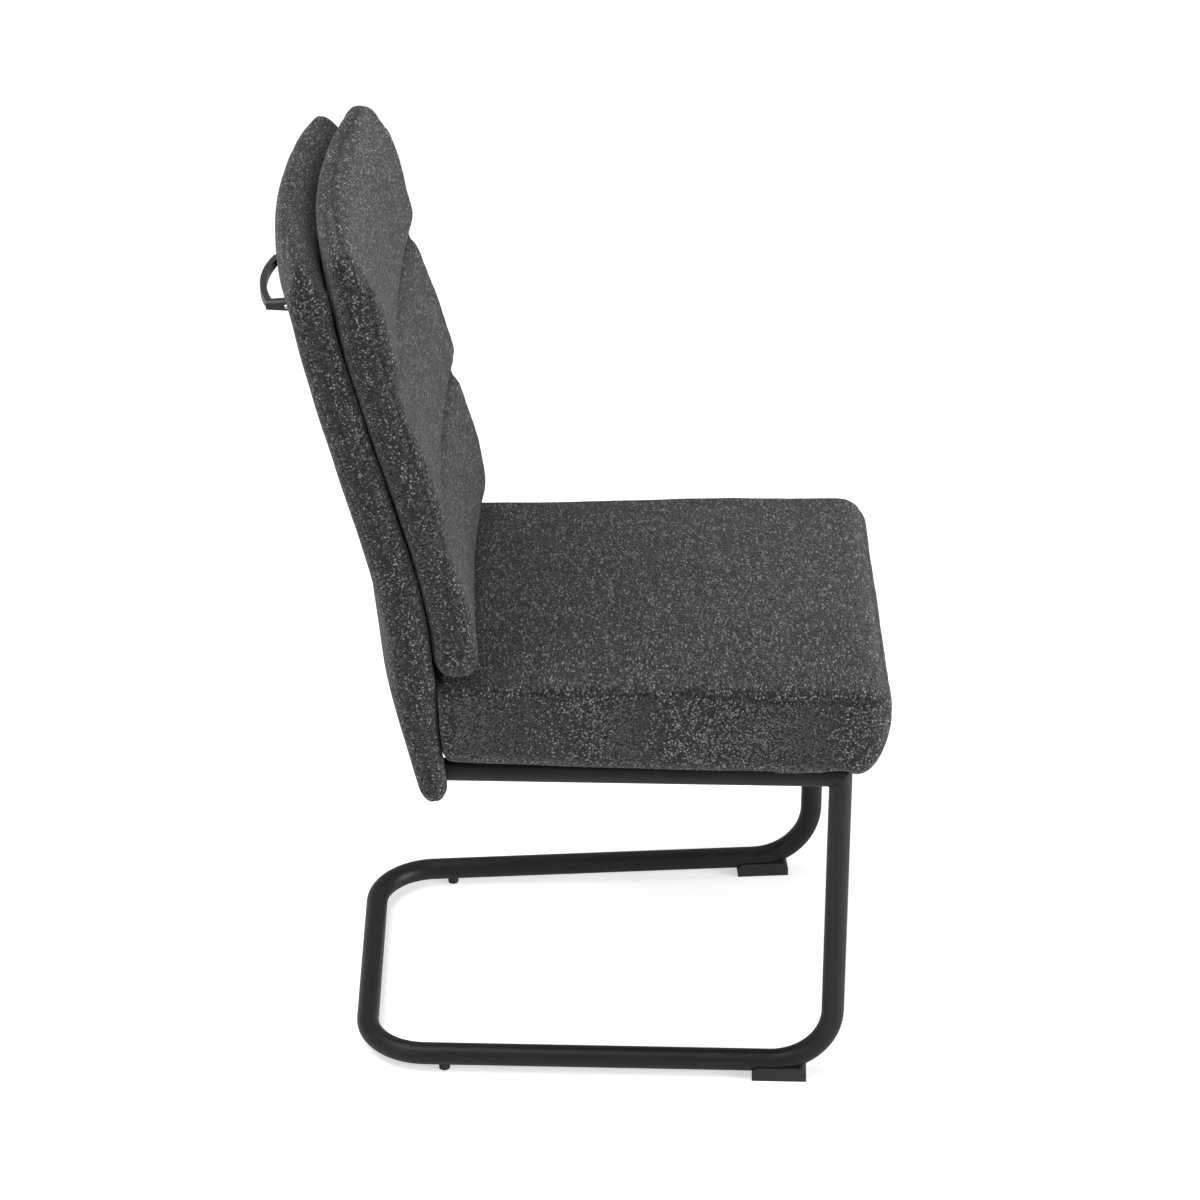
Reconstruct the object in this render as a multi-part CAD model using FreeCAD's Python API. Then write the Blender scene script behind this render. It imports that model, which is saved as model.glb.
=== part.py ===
import FreeCAD, Part
import math
import os

# Cantilever dining chair: a sprung frame of round steel tube, an upholstered seat
# and an upholstered back with a pull handle. All sizes are in millimetres.
# +Z is up, the sitter faces -Y, and the sitter's left is +X. The origin lies on the
# floor, under the middle of the chair's overall length and width.

V = FreeCAD.Vector

# Tube frame
tube_diameter = 25.0
tube_wall = 2.0
bend_radius = 70.0          # at the tube's centre line
base_depth = 523.0          # front legs to rear bar, between centre lines
front_track = 426.0         # between the centre lines of the front legs
rear_track = 373.0          # between the centre lines of the runners at the rear bar
rail_height = 395.0         # centre line of the seat rails above the floor
leg_lean = 2.4              # how far the legs lean forward by rail height
cross_bar_width = 30.0
cross_bar_height = 15.0
cross_bar_wall = 1.5
cross_bar_inset = 90.0      # from the leg axis, and from the rails' rear end, to a bar

# Glides
glide_base = 7.0            # plastic under the tube
glide_wall = 1.5
saddle_length = 61.0
saddle_height = 17.0
saddle_setback = 58.0       # centre of a saddle behind the leg axis
button_diameter = 12.5
button_setback = 89.0       # centre of a button in front of the rear bar's axis
peg_diameter = 6.0
peg_length = 8.0            # what stands inside the tube
saddle_end_round = 8.5
button_shoulder = 2.5       # the button's rim stands this much up the tube's side
button_edge_round = 1.5

# Seat
seat_overhang = 55.4        # cushion in front of the leg axis
seat_front_width = 462.0
seat_rear_width = 438.0
seat_thickness = 100.0      # rail top to the cushion's upper edge
seat_crown = 8.0            # rise of the middle over the edges
seat_front_drop = 5.0       # fall of the upper edge towards the front
seat_lip_drop = 13.0        # the front lip hangs below the rail top by this
seat_rear_rise = 17.0       # the underside rises by this from the front to the rear
seat_top_round = 6.0
seat_bottom_round = 16.0
seat_nose_top = 26.0        # rounding of the nose, upper half
seat_nose_depth = 40.0      # rounding of the nose, lower half, front to rear
seat_corner_round = 30.0    # front corners, seen from above
seat_nose_sections = (0.01, 0.12, 0.35, 0.65, 1.0)  # shares of the nose's depth
seat_body_sections = 4
board_thickness = 12.0
seat_rear_reserve = 5.0     # length that the shell's front face trims off at the middle
board_inset = 18.0
board_front_inset = 34.0
board_corner_round = 25.0
seat_bolt_spacing = 300.0
dust_cover_thickness = 0.8
dust_cover_gap = 0.1        # over the rails and cross bars

# Back shell and back cushion
back_distance = 428.6       # leg axis to the shell's front face, at its side edges
back_width = 444.0
bow_radius = 940.0          # plan curve of the shell's front face
shell_bottom = -42.0        # heights in the back are counted from the rail top
shell_top = 587.0
shell_thickness = 46.0
shell_head_thickness = 41.0
shell_head_start = 300.0    # above this the shell gets slimmer
shell_foot_thickness = 30.0
panel_thickness = 10.0
panel_inset = 14.0
cushion_bottom = 109.0
cushion_top = 598.0
lower_channel = 278.0
upper_channel = 446.0
cushion_gap = 3.0           # between cushion and shell
cushion_head_gap = 9.0      # the same at the cushion's top, where it stands off
cushion_head_start = 480.0
cushion_crown_depths = (42.0, 43.5, 47.0)   # lowest swell first, at the sides
cushion_channel_depth = 31.0
cushion_front_bow = 2500.0  # plan radius of the front face
cushion_board_thickness = 5.0
cushion_board_inset = 16.0
pad_end_round = 23.0
pad_end_angles = (12.0, 35.0, 60.0, 90.0)
fullest_round = 0.45        # greatest share of a thickness that one rounding takes up
fullest_end_round = 0.47    # the same for the two roundings of a pad's end
head_corner_round = 30.0    # upper corners of shell and cushion, seen from the front
shell_foot_corner = 10.0
cushion_foot_corner = 20.0
shell_front_round = 12.0
shell_rear_round = 18.0
cushion_front_round = 24.0
cushion_rear_round = 10.0
cushion_foot_share = 0.8    # how much of a full swell the lowest one is
cushion_swell_power = 0.5
cushion_swell_sag = 1.4     # over 1 puts each swell's fullest place below its middle
swell_steps = 6
layer_step = 60.0           # greatest distance between sections
cover_thickness = 2.0
soft_clearance = 0.3

# Side view of the shell's front face: height over the rail top, and distance behind
# the place that back_distance gives
back_profile = [(-60.0, -13.0), (-15.0, -12.0), (30.0, -6.5), (97.0, -3.0), (190.0, 5.0),
                (290.0, 28.0), (390.0, 55.0), (490.0, 80.0), (600.0, 101.0)]

# Straps that carry the back
strap_width = 28.0
strap_thickness = 5.0
strap_top = 250.0
strap_foot_inset = 12.0
strap_bolt_heights = (70.0, 150.0, 225.0)

# Handle
handle_span = 116.0         # between the middles of the two posts
handle_height = 486.0       # over the rail top
handle_standoff = 27.5      # from the shell to the outer end of a post
handle_bow = 10.0           # how far the grip's middle stands out beyond its ends
grip_depth = 7.0
grip_height = 9.0
post_width = 8.0
post_root_height = 14.0
post_chamfer = 2.0

# Fasteners
bolt_diameter = 6.0
bolt_head_diameter = 12.0
bolt_head_height = 3.5
bolt_stick_out = 3.0        # thread past the nut's barrel
nut_flange_diameter = 18.0
nut_flange_thickness = 1.2
nut_barrel_diameter = 8.0
nut_barrel_share = 0.75     # of the board's thickness that a nut's barrel goes into
handle_screw_diameter = 5.0
handle_screw_head = 10.0
handle_screw_grip = 8.0     # thread inside a handle post
sleeve_diameter = 9.0
stud_diameter = 8.0
stud_collar_diameter = 18.0
stud_bite = 0.8             # share of a board's thickness that a stud goes into
stud_spacing_x = 280.0
stud_heights = (160.0, 365.0, 520.0)
drill_clearance = 0.1

# Places worked out from the sizes above
tube_radius = tube_diameter / 2
runner_height = glide_base + tube_radius
rail_top = rail_height + tube_radius
overall_length = 665.4      # nose of the seat to the handle, which centres the origin
leg_y = seat_overhang - overall_length / 2
rear_bar_y = leg_y + base_depth
seat_front_y = leg_y - seat_overhang
back_y = leg_y + back_distance
half_back = back_width / 2
rail_end_y = back_y + shell_foot_thickness / 2      # inside the straps' and the panel's depth
board_bottom = rail_top + dust_cover_gap + dust_cover_thickness


def interpolate(points, x):
    """Smooth value at x of a curve through the points, which are in rising order."""
    i = 1
    while i < len(points) - 2 and x > points[i + 1][0]:
        i += 1
    if x < points[1][0]:
        i = 0
    x0, y0 = points[i]
    x1, y1 = points[i + 1]
    before = points[i - 1] if i > 0 else points[i]
    after = points[i + 2] if i + 2 < len(points) else points[i + 1]
    slope0 = (y1 - before[1]) / (x1 - before[0])
    slope1 = (after[1] - y0) / (after[0] - x0)
    span = x1 - x0
    t = (x - x0) / span
    return ((2 * t ** 3 - 3 * t ** 2 + 1) * y0 + (t ** 3 - 2 * t ** 2 + t) * span * slope0
            + (3 * t ** 2 - 2 * t ** 3) * y1 + (t ** 3 - t ** 2) * span * slope1)


def smooth_step(share):
    """Rises smoothly from 0 at 0 to 1 at 1."""
    share = min(1.0, max(0.0, share))
    return share * share * (3 - 2 * share)


def side_x(y):
    """Distance of a runner's or rail's centre line from the middle plane at y."""
    narrowing = (front_track - rear_track) / 2 / base_depth
    return front_track / 2 - narrowing * (y - leg_y)


def cylinder_between(start, end, radius):
    """Round bar from start to end."""
    axis = end - start
    return Part.makeCylinder(radius, axis.Length, start, axis)


def largest(shape):
    """Biggest solid of a shape, without the offcuts."""
    return max(shape.Solids, key=lambda solid: solid.Volume)


def save(name, shapes):
    """Write one node: one solid, or a group of equal fasteners."""
    shape = shapes if isinstance(shapes, Part.Shape) else Part.makeCompound(shapes)
    shape.exportStep("parts/" + name + ".step")


# Tube frame

def bent_path(points, radius):
    """Straight runs between the points, joined by tangent arcs at the inner ones."""
    edges = []
    last = points[0]
    for before, corner, after in zip(points, points[1:], points[2:]):
        to_before = (before - corner).normalize()
        to_after = (after - corner).normalize()
        half_angle = to_before.getAngle(to_after) / 2
        reach = radius / math.tan(half_angle)
        arc_start = corner + to_before * reach
        arc_end = corner + to_after * reach
        inward = (to_before + to_after).normalize()
        arc_middle = corner + inward * (radius / math.sin(half_angle) - radius)
        edges.append(Part.makeLine(last, arc_start))
        edges.append(Part.Arc(arc_start, arc_middle, arc_end).toShape())
        last = arc_end
    edges.append(Part.makeLine(last, points[-1]))
    return Part.Wire(edges)


def bent_bar(points, radius):
    """Round solid bar swept along a bent path."""
    ring = Part.Wire([Part.makeCircle(radius, points[0], points[1] - points[0])])
    return bent_path(points, bend_radius).makePipeShell([ring], True, False)


def half_space(point, normal):
    """Large block on the side of a plane that its normal points to."""
    size = 4 * tube_diameter
    block = Part.makeBox(size, size, size, V(-size / 2, -size / 2, 0))
    block.Placement = FreeCAD.Placement(point, FreeCAD.Rotation(V(0, 0, 1), normal))
    return block


def leg_top(side):
    """Point where a leg's axis meets its seat rail's axis."""
    return V(side * front_track / 2, leg_y - leg_lean, rail_height)


def past_leg_top(side):
    """Point on a leg's axis above its mitre, where the uncut tube ends."""
    along = (leg_top(side) - leg_foot(side)).normalize()
    return leg_top(side) + along * tube_diameter


def leg_foot(side):
    """Point where a leg's axis meets its runner's axis."""
    return V(side * front_track / 2, leg_y, runner_height)


def rear_corner(side):
    """Point where a runner's axis meets the rear bar's axis."""
    return V(side * rear_track / 2, rear_bar_y, runner_height)


def rail_point(side, y):
    """Point on a seat rail's axis."""
    return V(side * side_x(y), y, rail_height)


def mitre_normal(side):
    """Normal of the plane that a leg and its rail share, towards the rail."""
    up = (leg_top(side) - leg_foot(side)).normalize()
    back = (rail_point(side, rear_bar_y) - leg_top(side)).normalize()
    return up + back


def base_tube():
    """Both legs, both runners and the rear bar: one tube with four bends."""
    points = [past_leg_top(-1), leg_foot(-1), rear_corner(-1),
              rear_corner(1), leg_foot(1), past_leg_top(1)]
    tube = bent_bar(points, tube_radius).cut(bent_bar(points, tube_radius - tube_wall))
    for side in (-1, 1):
        tube = tube.cut(half_space(leg_top(side), mitre_normal(side)))
        for foot in (saddle_place(side), button_place(side)):
            tube = tube.cut(peg(foot, drill_clearance))
    return tube


def seat_rail(side):
    """Seat rail: mitred to its leg, and ending on the strap that carries the back."""
    end = rail_point(side, rail_end_y)
    start = leg_top(side) - (end - leg_top(side)).normalize() * tube_diameter
    rail = cylinder_between(start, end, tube_radius)
    rail = rail.cut(cylinder_between(start, end, tube_radius - tube_wall))
    rail = rail.cut(half_space(leg_top(side), mitre_normal(side) * -1))
    return rail.cut(layer(shell_bottom, strap_top, strap_front, shell_depth, half_back))


def cross_bar_places():
    """Where the two cross bars lie, front bar first."""
    return (leg_y + cross_bar_inset, back_y - cross_bar_inset)


def cross_bar(y):
    """Flat tube between the rails, with its top level with theirs."""
    length = 2 * side_x(y)
    corner = V(-length / 2, y - cross_bar_width / 2, rail_top - cross_bar_height)
    bar = Part.makeBox(length, cross_bar_width, cross_bar_height, corner)
    corner = corner + V(0, cross_bar_wall, cross_bar_wall)
    bar = bar.cut(Part.makeBox(length, cross_bar_width - 2 * cross_bar_wall,
                               cross_bar_height - 2 * cross_bar_wall, corner))
    for side in (-1, 1):
        rail = cylinder_between(rail_point(side, y - cross_bar_width),
                                rail_point(side, y + cross_bar_width), tube_radius)
        bar = bar.cut(rail)
    bar = largest(bar)
    for place in seat_bolt_places():
        bar = bar.cut(seat_bolt_shank(place, drill_clearance))
    return bar


# Glides

def saddle_place(side):
    """Underside of the tube over the middle of a front saddle."""
    y = leg_y + saddle_setback
    return V(side * side_x(y), y, glide_base)


def button_place(side):
    """Underside of the tube over the middle of a rear button."""
    y = rear_bar_y - button_setback
    return V(side * side_x(y), y, glide_base)


def peg(foot, clearance=0.0):
    """Peg that holds a glide in a hole in the tube's underside."""
    start = foot - V(0, 0, glide_base / 2)
    return Part.makeCylinder(peg_diameter / 2 + clearance, glide_base / 2 + peg_length, start)


def side_tube(side):
    """Outside of one leg, its runner and the corner behind it."""
    return bent_bar([leg_top(side), leg_foot(side), rear_corner(side)], tube_radius)


def front_glide(side):
    """Saddle that hugs the tube from below, with a peg into the tube."""
    foot = saddle_place(side)
    half_width = tube_radius + glide_wall
    block = Part.makeBox(2 * half_width, saddle_length, saddle_height,
                         V(-half_width, -saddle_length / 2, 0))
    ends = [edge for edge in block.Edges
            if edge.BoundBox.ZMin > saddle_height / 2 and edge.BoundBox.YLength < half_width]
    block = block.makeFillet(saddle_end_round, ends)
    turn = math.degrees(math.atan2(side_x(leg_y) - side_x(rear_bar_y), base_depth))
    block.rotate(V(0, 0, 0), V(0, 0, 1), side * turn)
    block.translate(V(foot.x, foot.y, 0))
    return block.cut(side_tube(side)).fuse(peg(foot)).removeSplitter()


def rear_glide(side):
    """Round button with a peg into the tube."""
    foot = button_place(side)
    base = V(foot.x, foot.y, 0)
    button = Part.makeCylinder(button_diameter / 2, glide_base + button_shoulder, base)
    lower_edge = [edge for edge in button.Edges if edge.BoundBox.ZMax < glide_base / 2]
    button = button.makeFillet(button_edge_round, lower_edge)
    return button.cut(side_tube(side)).fuse(peg(foot)).removeSplitter()


# Seat

def seat_share(y):
    """Place along the seat: 0 at the nose and 1 at the back."""
    return (y - seat_front_y) / (back_y - seat_front_y)


def seat_half_width(y):
    """Half width of the seat cushion, front corners aside."""
    return (seat_front_width + seat_share(y) * (seat_rear_width - seat_front_width)) / 2


def quarter(radius, depth, rise):
    """How far a rounding of this radius and rise falls back at a depth from its front."""
    if depth >= radius:
        return 0.0
    return rise * (1 - math.sqrt(1 - (1 - depth / radius) ** 2))


def seat_section(y, inset):
    """Cross outline of the seat cushion at y."""
    depth = y - seat_front_y
    half = seat_half_width(y) - quarter(seat_corner_round, depth, seat_corner_round) - inset
    front_share = max(0.0, 1 - depth / seat_thickness)
    top = rail_top + seat_thickness - seat_front_drop * front_share
    nose_height = seat_thickness - seat_front_drop + seat_lip_drop - seat_nose_top
    top = top - quarter(seat_nose_top, depth, seat_nose_top) - inset
    low = rail_top - seat_lip_drop + seat_share(y) * seat_rear_rise + inset
    low = low + quarter(seat_nose_depth, depth, nose_height)
    most = (top - low) * fullest_round
    upper = min(seat_top_round, most)
    lower = min(seat_bottom_round, most)
    crown = seat_crown * min(1.0, depth / seat_thickness)
    return rounded_section(y, half, low, top, lower, upper, crown)


def rounded_section(y, half, low, top, lower, upper, crown):
    """Upright outline across the chair: flat below, crowned above, with round corners."""
    diagonal = math.sqrt(0.5)

    def corner(x, z, radius, x_sign, z_sign):
        """Quarter circle about (x, z) from its side point to its upper or lower point."""
        side_point = V(x + x_sign * radius, y, z)
        middle = V(x + x_sign * radius * diagonal, y, z + z_sign * radius * diagonal)
        end_point = V(x, y, z + z_sign * radius)
        return side_point, middle, end_point

    right_low = corner(half - lower, low + lower, lower, 1, -1)
    right_top = corner(half - upper, top - upper, upper, 1, 1)
    left_top = corner(upper - half, top - upper, upper, -1, 1)
    left_low = corner(lower - half, low + lower, lower, -1, -1)
    summit = V(0, y, top + crown)
    edges = [Part.makeLine(left_low[2], right_low[2]),
             Part.Arc(right_low[2], right_low[1], right_low[0]).toShape(),
             Part.makeLine(right_low[0], right_top[0]),
             Part.Arc(*right_top).toShape(),
             Part.Arc(right_top[2], summit, left_top[2]).toShape(),
             Part.Arc(left_top[2], left_top[1], left_top[0]).toShape(),
             Part.makeLine(left_top[0], left_low[0]),
             Part.Arc(*left_low).toShape()]
    return Part.Wire(edges)


def frame_room():
    """Space under the seat for the rails, the tops of the legs and what lies between them."""
    high = rail_top + dust_cover_gap
    low = high - seat_thickness
    front = leg_y - leg_lean - tube_radius - soft_clearance
    rear = back_y + tube_diameter
    half = front_track / 2 + tube_radius + soft_clearance
    room = Part.makeBox(2 * half, tube_diameter + 2 * soft_clearance, seat_thickness,
                        V(-half, front, low))
    corners = [V(-side_x(front), front, low), V(side_x(front), front, low),
               V(side_x(rear), rear, low), V(-side_x(rear), rear, low)]
    floor = Part.Face(Part.makePolygon(corners + corners[:1]))
    room = room.fuse(floor.extrude(V(0, 0, seat_thickness)))
    for side in (-1, 1):
        rail = cylinder_between(rail_point(side, front), rail_point(side, rear),
                                tube_radius + soft_clearance)
        room = room.fuse(rail)
    return room


def seat_form(inset):
    """Seat cushion as a closed form, inset by this much, with its rear cut to the shell."""
    front = seat_front_y + inset
    rear = back_y + sagitta(half_back) + seat_rear_reserve
    places = [front + share * seat_nose_depth for share in seat_nose_sections]
    step = (rear - places[-1]) / seat_body_sections
    places += [rear - i * step for i in reversed(range(seat_body_sections))]
    form = Part.makeLoft([seat_section(y, inset) for y in places], True, False)
    form = form.cut(shell_form(-soft_clearance - inset))
    return largest(form.cut(frame_room()))


def board_outline(inset, z):
    """Outline of the seat board from above, as a face, before its corners are rounded."""
    front = seat_front_y + board_front_inset + inset
    rear = back_y - board_inset - inset
    half_front = seat_half_width(front) - board_inset - inset
    half_rear = seat_half_width(rear) - board_inset - inset
    corners = [V(-half_front, front, z), V(half_front, front, z),
               V(half_rear, rear, z), V(-half_rear, rear, z)]
    return Part.Face(Part.makePolygon(corners + corners[:1]))


def plate(inset, z, thickness, corner):
    """Flat plate in the seat board's outline, with rounded corners."""
    slab = board_outline(inset, z).extrude(V(0, 0, thickness))
    upright = [edge for edge in slab.Edges if edge.BoundBox.ZLength > thickness / 2]
    return slab.makeFillet(corner, upright)


def seat_bolt_places():
    """Points on the underside of the cross bars where bolts go up into the board."""
    low = rail_top - cross_bar_height
    return [V(side * seat_bolt_spacing / 2, y, low)
            for y in cross_bar_places() for side in (-1, 1)]


def seat_bolt_shank(place, clearance=0.0):
    """Shank of a seat bolt, from under the cross bar to past the nut."""
    length = board_bottom + board_thickness - place.z + bolt_stick_out + clearance
    return Part.makeCylinder(bolt_diameter / 2 + clearance, length, place)


def seat_bolt(place):
    """Round-headed bolt under the cross bar."""
    head = Part.makeCylinder(bolt_head_diameter / 2, bolt_head_height,
                             place - V(0, 0, bolt_head_height))
    rim = [edge for edge in head.Edges if edge.BoundBox.ZMax < place.z - bolt_head_height / 2]
    head = head.makeFillet(bolt_head_height / 2, rim)
    return head.fuse(seat_bolt_shank(place)).removeSplitter()


def seat_nut(place, clearance=0.0):
    """Flanged nut sunk into the board from above, around a bolt."""
    top = board_bottom + board_thickness
    nut = Part.makeCylinder(nut_flange_diameter / 2 + clearance, nut_flange_thickness + clearance,
                            V(place.x, place.y, top))
    barrel = board_thickness * nut_barrel_share
    return nut.fuse(Part.makeCylinder(nut_barrel_diameter / 2 + clearance, barrel,
                                      V(place.x, place.y, top - barrel)))


def seat_board():
    """Plywood board under the foam."""
    board = plate(0, board_bottom, board_thickness, board_corner_round)
    for place in seat_bolt_places():
        board = board.cut(seat_bolt_shank(place, drill_clearance)).cut(seat_nut(place))
    return board


def seat_dust_cover():
    """Thin cloth stapled under the board."""
    cloth = plate(board_inset / 3, rail_top + dust_cover_gap, dust_cover_thickness, board_corner_round)
    for place in seat_bolt_places():
        cloth = cloth.cut(seat_bolt_shank(place, drill_clearance))
    return cloth


def board_room():
    """Recess in the seat's underside for the board, its cloth and what is below them."""
    low = rail_top - seat_thickness
    high = board_bottom + board_thickness + soft_clearance
    return plate(-soft_clearance, low, high - low, board_corner_round)


def seat_foam():
    """Foam block with its recess for the board and the nuts."""
    foam = seat_form(cover_thickness + soft_clearance).cut(board_room())
    for place in seat_bolt_places():
        foam = foam.cut(seat_nut(place, soft_clearance))
        foam = foam.cut(seat_bolt_shank(place, soft_clearance))
    return foam


def seat_cover():
    """Sewn cover around the foam, open below where the board is."""
    return seat_form(0).cut(seat_form(cover_thickness)).cut(board_room())


# Back

def sagitta(x):
    """How far the shell's front face curves forward between the middle and x."""
    return bow_radius - math.sqrt(bow_radius ** 2 - x ** 2)


def bow_centre(height):
    """Centre of the plan curves at a height over the rail top."""
    y = back_y + interpolate(back_profile, height) + sagitta(half_back) - bow_radius
    return V(0, y, rail_top + height)


def bowed_section(height, front, rear, half, front_round, rear_round, front_bow=0.0):
    """Outline of a bowed layer from above; front and rear are counted from the shell's face.

    A front face with a bow radius of its own keeps its distance at the shell's side edges.
    """
    centre = bow_centre(height)
    inner = bow_radius + front
    outer = bow_radius + rear
    flat = 0.0
    if front_bow:
        flat = math.sqrt(inner ** 2 - half_back ** 2) - math.sqrt(front_bow ** 2 - half_back ** 2)
        inner = front_bow
    front_centre = V(0, flat, 0)
    front_x = half - front_round
    rear_x = half - rear_round
    front_reach = V(front_x, math.sqrt((inner + front_round) ** 2 - front_x ** 2), 0)
    rear_reach = V(rear_x, math.sqrt((outer - rear_round) ** 2 - rear_x ** 2), 0)
    front_corner = front_centre + front_reach
    sideways = V(1, 0, 0)
    front_inward = front_reach * (-1 / front_reach.Length)
    rear_outward = rear_reach * (1 / rear_reach.Length)
    right = [front_corner + front_inward * front_round,
             front_corner + (front_inward + sideways).normalize() * front_round,
             front_corner + sideways * front_round,
             rear_reach + sideways * rear_round,
             rear_reach + (rear_outward + sideways).normalize() * rear_round,
             rear_reach + rear_outward * rear_round]
    left = [V(-point.x, point.y, 0) for point in right]
    right = [centre + point for point in right]
    left = [centre + point for point in left]
    edges = [Part.Arc(left[0], centre + front_centre + V(0, inner, 0), right[0]).toShape(),
             Part.Arc(right[0], right[1], right[2]).toShape(),
             Part.makeLine(right[2], right[3]),
             Part.Arc(right[3], right[4], right[5]).toShape(),
             Part.Arc(right[5], centre + V(0, outer, 0), left[5]).toShape(),
             Part.Arc(left[5], left[4], left[3]).toShape(),
             Part.makeLine(left[3], left[2]),
             Part.Arc(left[2], left[1], left[0]).toShape()]
    return Part.Wire(edges)


def shell_depth(height):
    """Thickness of the back shell: slimmer at the foot, where the rails come in, and at the top."""
    foot = smooth_step((height - shell_bottom) / (cushion_bottom - shell_bottom))
    head = smooth_step((height - shell_head_start) / (shell_top - shell_head_start))
    return (shell_foot_thickness + (shell_thickness - shell_foot_thickness) * foot
            - (shell_thickness - shell_head_thickness) * head)


def strap_front(height):
    """Front face of the straps; with the panel behind them they fill the middle of the shell."""
    return (shell_depth(height) - panel_thickness - strap_thickness) / 2


def panel_front(height):
    """Front face of the plywood panel, on the rear of the straps."""
    return strap_front(height) + strap_thickness


def panel_rear(height):
    """Rear face of the plywood panel."""
    return panel_front(height) + panel_thickness


def layer(low, high, front, rear, half, rounding=0.5):
    """Bowed sheet between two faces, square at its ends."""
    steps = max(2, round((high - low) / layer_step))
    heights = [low + (high - low) * i / steps for i in range(steps + 1)]
    wires = []
    for height in heights:
        front_offset = front(height) if callable(front) else front
        rear_offset = rear(height) if callable(rear) else rear
        wires.append(bowed_section(height, front_offset, rear_offset, half, rounding, rounding))
    return Part.makeLoft(wires, True, False)


def rounded_end(height, direction, thickness, inset):
    """Heights of a pad's end sections, and how far each is drawn in, from the end inward."""
    end_round = min(pad_end_round, thickness * fullest_end_round) - inset
    stations = []
    for angle in pad_end_angles:
        turn = math.radians(angle)
        rise = inset + end_round * (1 - math.cos(turn))
        stations.append((height + direction * rise, end_round * (1 - math.sin(turn))))
    return stations


def pad(heights, front, rear, front_round, rear_round, foot_corner, inset, front_bow=0.0):
    """Bowed pad with rounded ends, inset all round by this much."""
    foot = rounded_end(heights[0], 1, rear(heights[0]) - front(heights[0]), inset)
    head = rounded_end(heights[-1], -1, rear(heights[-1]) - front(heights[-1]), inset)
    least_step = layer_step / 8
    between = [(height, 0.0) for height in heights
               if foot[-1][0] + least_step < height < head[-1][0] - least_step]
    wires = []
    for height, pinch in foot + between + head[::-1]:
        above_foot = height - heights[0] - inset
        below_head = heights[-1] - inset - height
        narrowing = (inset + quarter(foot_corner, above_foot, foot_corner)
                     + quarter(head_corner_round, below_head, head_corner_round))
        front_offset = front(height) + inset + pinch
        rear_offset = rear(height) - inset - pinch
        most = (rear_offset - front_offset) * fullest_round
        own_bow = front_bow and front_bow + inset + pinch
        wires.append(bowed_section(height, front_offset, rear_offset, half_back - narrowing,
                                   min(front_round, most), min(rear_round, most), own_bow))
    return Part.makeLoft(wires, True, False)


def shell_form(inset):
    """Upholstered back shell as a closed form."""
    steps = round((shell_top - shell_bottom) / layer_step)
    heights = [shell_bottom + (shell_top - shell_bottom) * i / steps for i in range(steps + 1)]
    return pad(heights, lambda height: 0.0, shell_depth, shell_front_round, shell_rear_round,
               shell_foot_corner, inset)


def cushion_front(height):
    """Front face of the back cushion: three swells between two sewn channels."""
    if height < lower_channel:
        low, high, crown = cushion_bottom, lower_channel, cushion_crown_depths[0]
    elif height < upper_channel:
        low, high, crown = lower_channel, upper_channel, cushion_crown_depths[1]
    else:
        low, high, crown = upper_channel, cushion_top, cushion_crown_depths[2]
    share = (high - height) / (high - low)
    if low == cushion_bottom:
        share *= cushion_foot_share
    share = min(1.0, max(0.0, share)) ** cushion_swell_sag
    swell = abs(math.sin(math.pi * share)) ** cushion_swell_power
    return -cushion_gap - cushion_channel_depth - (crown - cushion_channel_depth) * swell


def cushion_rear(height):
    """Rear face of the back cushion, close to the shell but for its head."""
    share = smooth_step((height - cushion_head_start) / (cushion_top - cushion_head_start))
    return -cushion_gap - (cushion_head_gap - cushion_gap) * share


def cushion_heights():
    """Heights of the cushion's sections, closest together at the channels."""
    heights = [cushion_bottom]
    for low, high in ((cushion_bottom, lower_channel), (lower_channel, upper_channel),
                      (upper_channel, cushion_top)):
        for i in range(1, swell_steps + 1):
            share = (1 - math.cos(math.pi * i / swell_steps)) / 2
            heights.append(low + (high - low) * share)
    return heights


def cushion_form(inset):
    """Back cushion as a closed form."""
    return pad(cushion_heights(), cushion_front, cushion_rear, cushion_front_round,
               cushion_rear_round, cushion_foot_corner, inset, cushion_front_bow)


def back_panel_blank(clearance):
    """Moulded plywood panel in the shell, grown by a clearance."""
    return layer(shell_bottom + panel_inset - clearance, shell_top - panel_inset + clearance,
                 lambda height: panel_front(height) - clearance,
                 lambda height: panel_rear(height) + clearance,
                 half_back - panel_inset + clearance)


def cushion_board_blank(clearance):
    """Thin plywood board at the rear of the back cushion, grown by a clearance."""
    depth = cushion_board_thickness + clearance
    return layer(cushion_bottom + cushion_board_inset - clearance,
                 cushion_top - cushion_board_inset + clearance,
                 lambda height: cushion_rear(height) - depth, cushion_rear,
                 half_back - cushion_board_inset + clearance)


def strap(side, clearance=0.0):
    """Flat steel strap welded to a rail's end, lying on the panel's front."""
    low = shell_bottom + strap_foot_inset - clearance
    sheet = layer(low, strap_top + clearance,
                  lambda height: strap_front(height) - clearance,
                  lambda height: panel_front(height) + clearance, half_back)
    width = strap_width + 2 * clearance
    cutter = Part.makeBox(width, overall_length, shell_top,
                          V(side * side_x(back_y) - width / 2, 0, rail_top + shell_bottom))
    return sheet.common(cutter)


def outward(x, height):
    """Unit vector square to the back's layers at a place, pointing to the rear."""
    centre = bow_centre(height)
    run = 10.0
    lean = (bow_centre(height + run).y - bow_centre(height - run).y) / (2 * run)
    across = V(x, math.sqrt(bow_radius ** 2 - x ** 2), 0).normalize()
    return V(across.x, across.y, -lean * across.y).normalize()


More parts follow.
